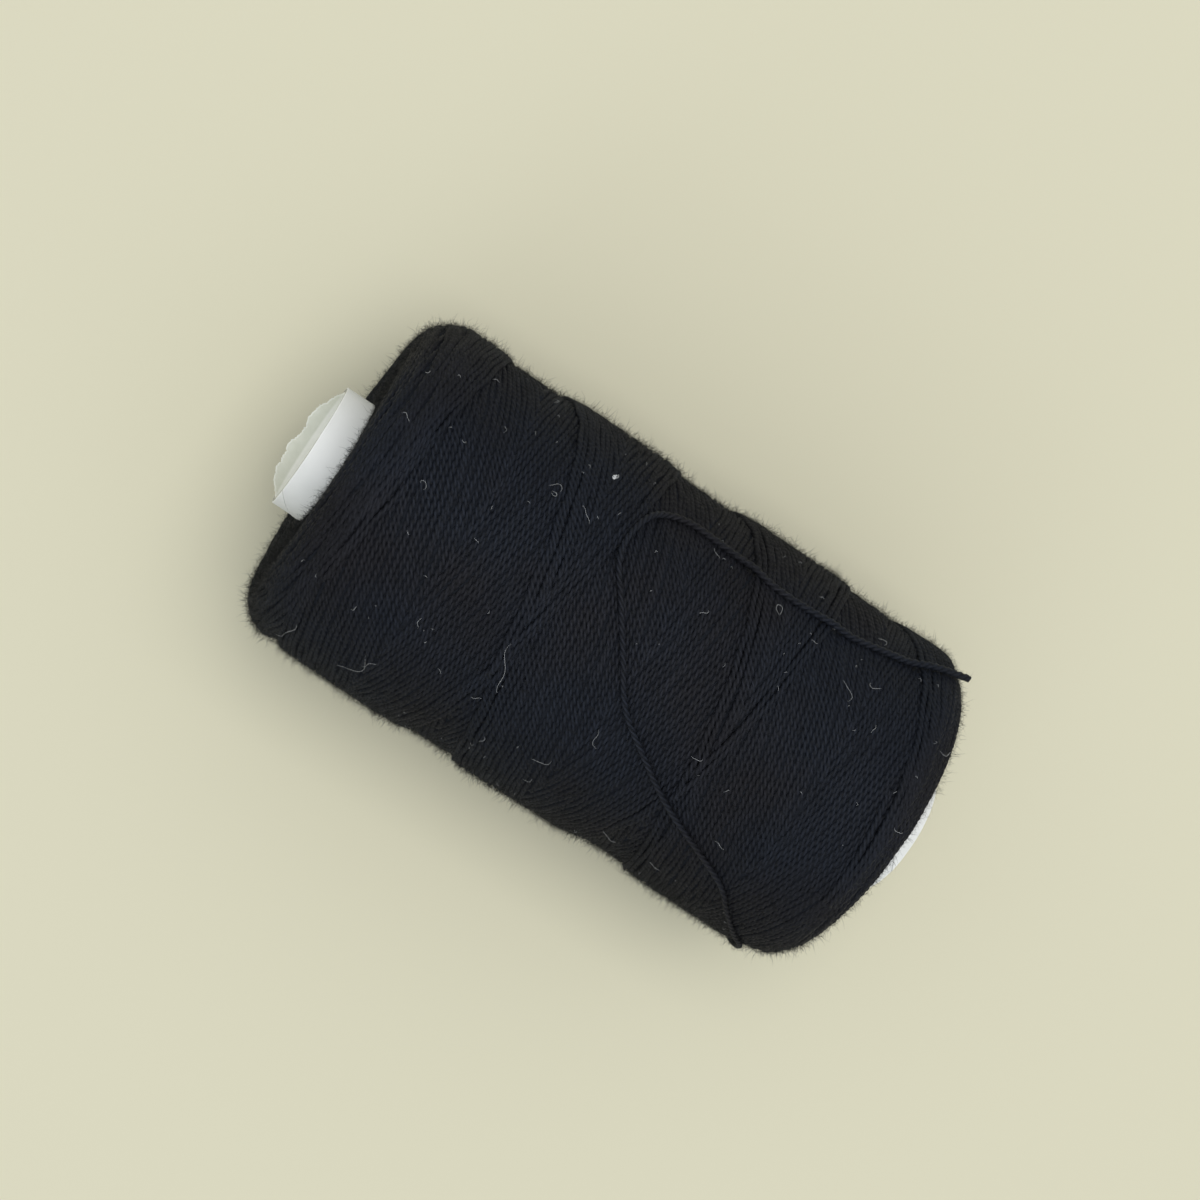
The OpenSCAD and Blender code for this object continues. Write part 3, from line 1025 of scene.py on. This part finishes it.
# Fibre streaks, each strand's tone and slow waves, times the painted shade in the ply grooves and the
# painted highlight on the ply tops.
twisted = (streaks.clipped(0.35, 0.69) * 0.6 + shade * 0.1 + slow * 0.2 + 0.1) * ply_relief_and_painted_light
x, y, _ = place.parts()
near_end = x.size().clipped(38 * MM, 46 * MM)
near_side = y.size().clipped(12 * MM, 22 * MM)
held = x.clipped(12 * MM, 34 * MM) * 0.5
worn = near_end.maths("MAXIMUM", near_end.maths("MAXIMUM", near_end, near_side), held)
rubbed = noise(place, 45.0, 2.0).clipped(0.5, 0.68) * 0.45 + worn * 0.5
grain = noise(place, 2700.0, 3.0).clipped(0.32, 0.68)
lightness = twisted * (1 - rubbed) + grain * rubbed * 0.5
cool = lightness.blend((0.0030, 0.0040, 0.0064, 1), (0.0242, 0.0292, 0.0435, 1))
warm = lightness.blend((0.0040, 0.0038, 0.0046, 1), (0.0290, 0.0272, 0.0325, 1))
patches = noise(place, 38.0, 2.0).clipped(0.42, 0.62)
coloured(thread_shader, (patches * 0.8).blend(cool, warm))
bumped(thread_shader, ply_relief_and_painted_light * (1 - rubbed * 0.5) + streaks * 0.7 + grain * rubbed, 0.08 * MM, 0.8)

under_black, under_shader, place = material("black_depths", 0.9, Specular_IOR_Level=0.05)
depth_spots = noise(place, 1500.0, 2.0)
coloured(under_shader, depth_spots.blend((0.0070, 0.0082, 0.0112, 1), (0.0190, 0.0215, 0.0280, 1)))
bumped(under_shader, depth_spots, 0.1 * MM, 0.6)

fuzz_black, fuzz_shader, place = material("black_fuzz", 0.6, Specular_IOR_Level=0.12)
pale_tufts = noise(place, 1100.0).clipped(0.4, 0.75)
coloured(fuzz_shader, pale_tufts.blend((0.004, 0.0045, 0.005, 1), (0.046, 0.047, 0.049, 1)))

lint_white, lint_shader, place = material("white_lint", 0.6)
coloured(lint_shader, noise(place, 200.0).blend((0.45, 0.46, 0.48, 1), (0.90, 0.91, 0.91, 1)))
print("thread, depths, fuzz and lint")

# %% [markdown]
# ## Paper
#
# The cover is a matt white paper, faintly fibrous, a little grey where it has been handled, with a
# thin painted shadow line where its strips lap. The board shows its plies at the cut ends as thin
# rings. The lining is thin, and its colour is partly painted light and shade: painted shade, greyer
# and greener, where the dark of the bore would show through, painted light where the board backs
# it, and a painted highlight along its torn edge.
# %% Paper materials
cover_white, cover_shader, place = material("white_cover_paper", 0.62, Specular_IOR_Level=0.35)
pulp = noise(place, 900.0, 4.0, 0.6)
handled = noise(place, 130.0, 3.0)
x, y, z = place.parts()
turned = y.maths("ARCTAN2", y, z) * (1 / TURN) - x * (1 / lap_pitch) - cover_lap / TURN
# Painted shadow: a thin dark grey line along the edge where the paper strips lap.
lap_edge_painted_shadow = turned.fraction().clipped(0.006, 0.0)
dirt = handled.clipped(0.45, 0.75) * 0.5 + pulp * 0.25
paper_colour = dirt.blend((0.93, 0.935, 0.915, 1), (0.79, 0.80, 0.77, 1))
coloured(cover_shader, lap_edge_painted_shadow.blend(paper_colour, (0.42, 0.43, 0.41, 1)))
bumped(cover_shader, pulp + handled * 2, 0.04 * MM, 0.5)

board_ply = 0.14 * MM
board_grey, board_shader, place = material("grey_board", 0.85)
_, y, z = place.parts()
radius = (y * y + z * z) ** 0.5
plies = (radius / board_ply).fraction()
board_pulp = noise(place, 1500.0, 4.0)
board_light = plies * 0.5 + board_pulp * 0.5
coloured(board_shader, board_light.blend((0.30, 0.29, 0.25, 1), (0.55, 0.54, 0.48, 1)))
bumped(board_shader, board_pulp + plies, 0.05 * MM, 0.6)

lining_grey, lining_shader, place = material("thin_lining_paper", 0.55, Specular_IOR_Level=0.4)
cloud = noise(place, 350.0, 4.0, 0.6)
creases = noise(place, 1200.0, 2.0)
x, _, _ = place.parts()
# Painted light: the lining is painted paler inside the tube, where the board backs it, than on the lip that
# stands out.
backed_painted_light = x.clipped(tube_left - 0.1 * MM, tube_left + 0.2 * MM)
wall_along, _ = along_round(place)
edge_along = tube_left / wall_unit
# Painted highlight along the lining's left, torn edge.
edge_painted_highlight = wall_along.clipped(edge_along + 0.03, edge_along)
tone_and_painted_light = cloud * 0.4 + creases * 0.2 + backed_painted_light * 0.6 + edge_painted_highlight * 0.5
# Its own cloud and creases, plus painted light; the greyer, greener end is painted shade of the dark bore
# showing through the thin lip.
coloured(lining_shader, tone_and_painted_light.blend((0.66, 0.68, 0.57, 1), (0.99, 0.99, 0.94, 1)))
bumped(lining_shader, cloud * 2 + creases, 0.06 * MM, 0.8)
print("cover, board and lining")

# %% [markdown]
# ## Putting it together
#
# Each new piece rides on the one body and stands for the CAD piece that it replaces.
# %% Materials, bodies and the triangle count
for made in [*fans, *end_arcs, loose_tail]:
    made.data.materials.append(thread_black)
packed_layers.data.materials.append(under_black)
for made in [*fuzz, tail_hairs]:
    made.data.materials.append(fuzz_black)
for made in (lint_bits, white_speck):
    made.data.materials.append(lint_white)
cover_paper.data.materials.append(cover_white)
lining_paper.data.materials.append(lining_grey)
board_node = frame["nodes"]["tube_board"]
if board_node.data.materials:
    board_node.data.materials[0] = board_grey
else:
    board_node.data.materials.append(board_grey)

for made in [*fans, *end_arcs, loose_tail, packed_layers, *fuzz, tail_hairs, lint_bits, white_speck]:
    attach(made, "root")
for made, slot in ((cover_paper, "cover_paper"), (lining_paper, "lining_paper")):
    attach(made, "root")
for made in [*fans, *end_arcs]:
    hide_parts("outer_turns")
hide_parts("loose_tail")
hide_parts("winding_core")
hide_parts("tube_cover")
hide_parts("tube_lining")

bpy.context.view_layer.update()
total = sum(triangles(made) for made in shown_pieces() if made.type == "MESH")
print("whole object", total, "triangles")
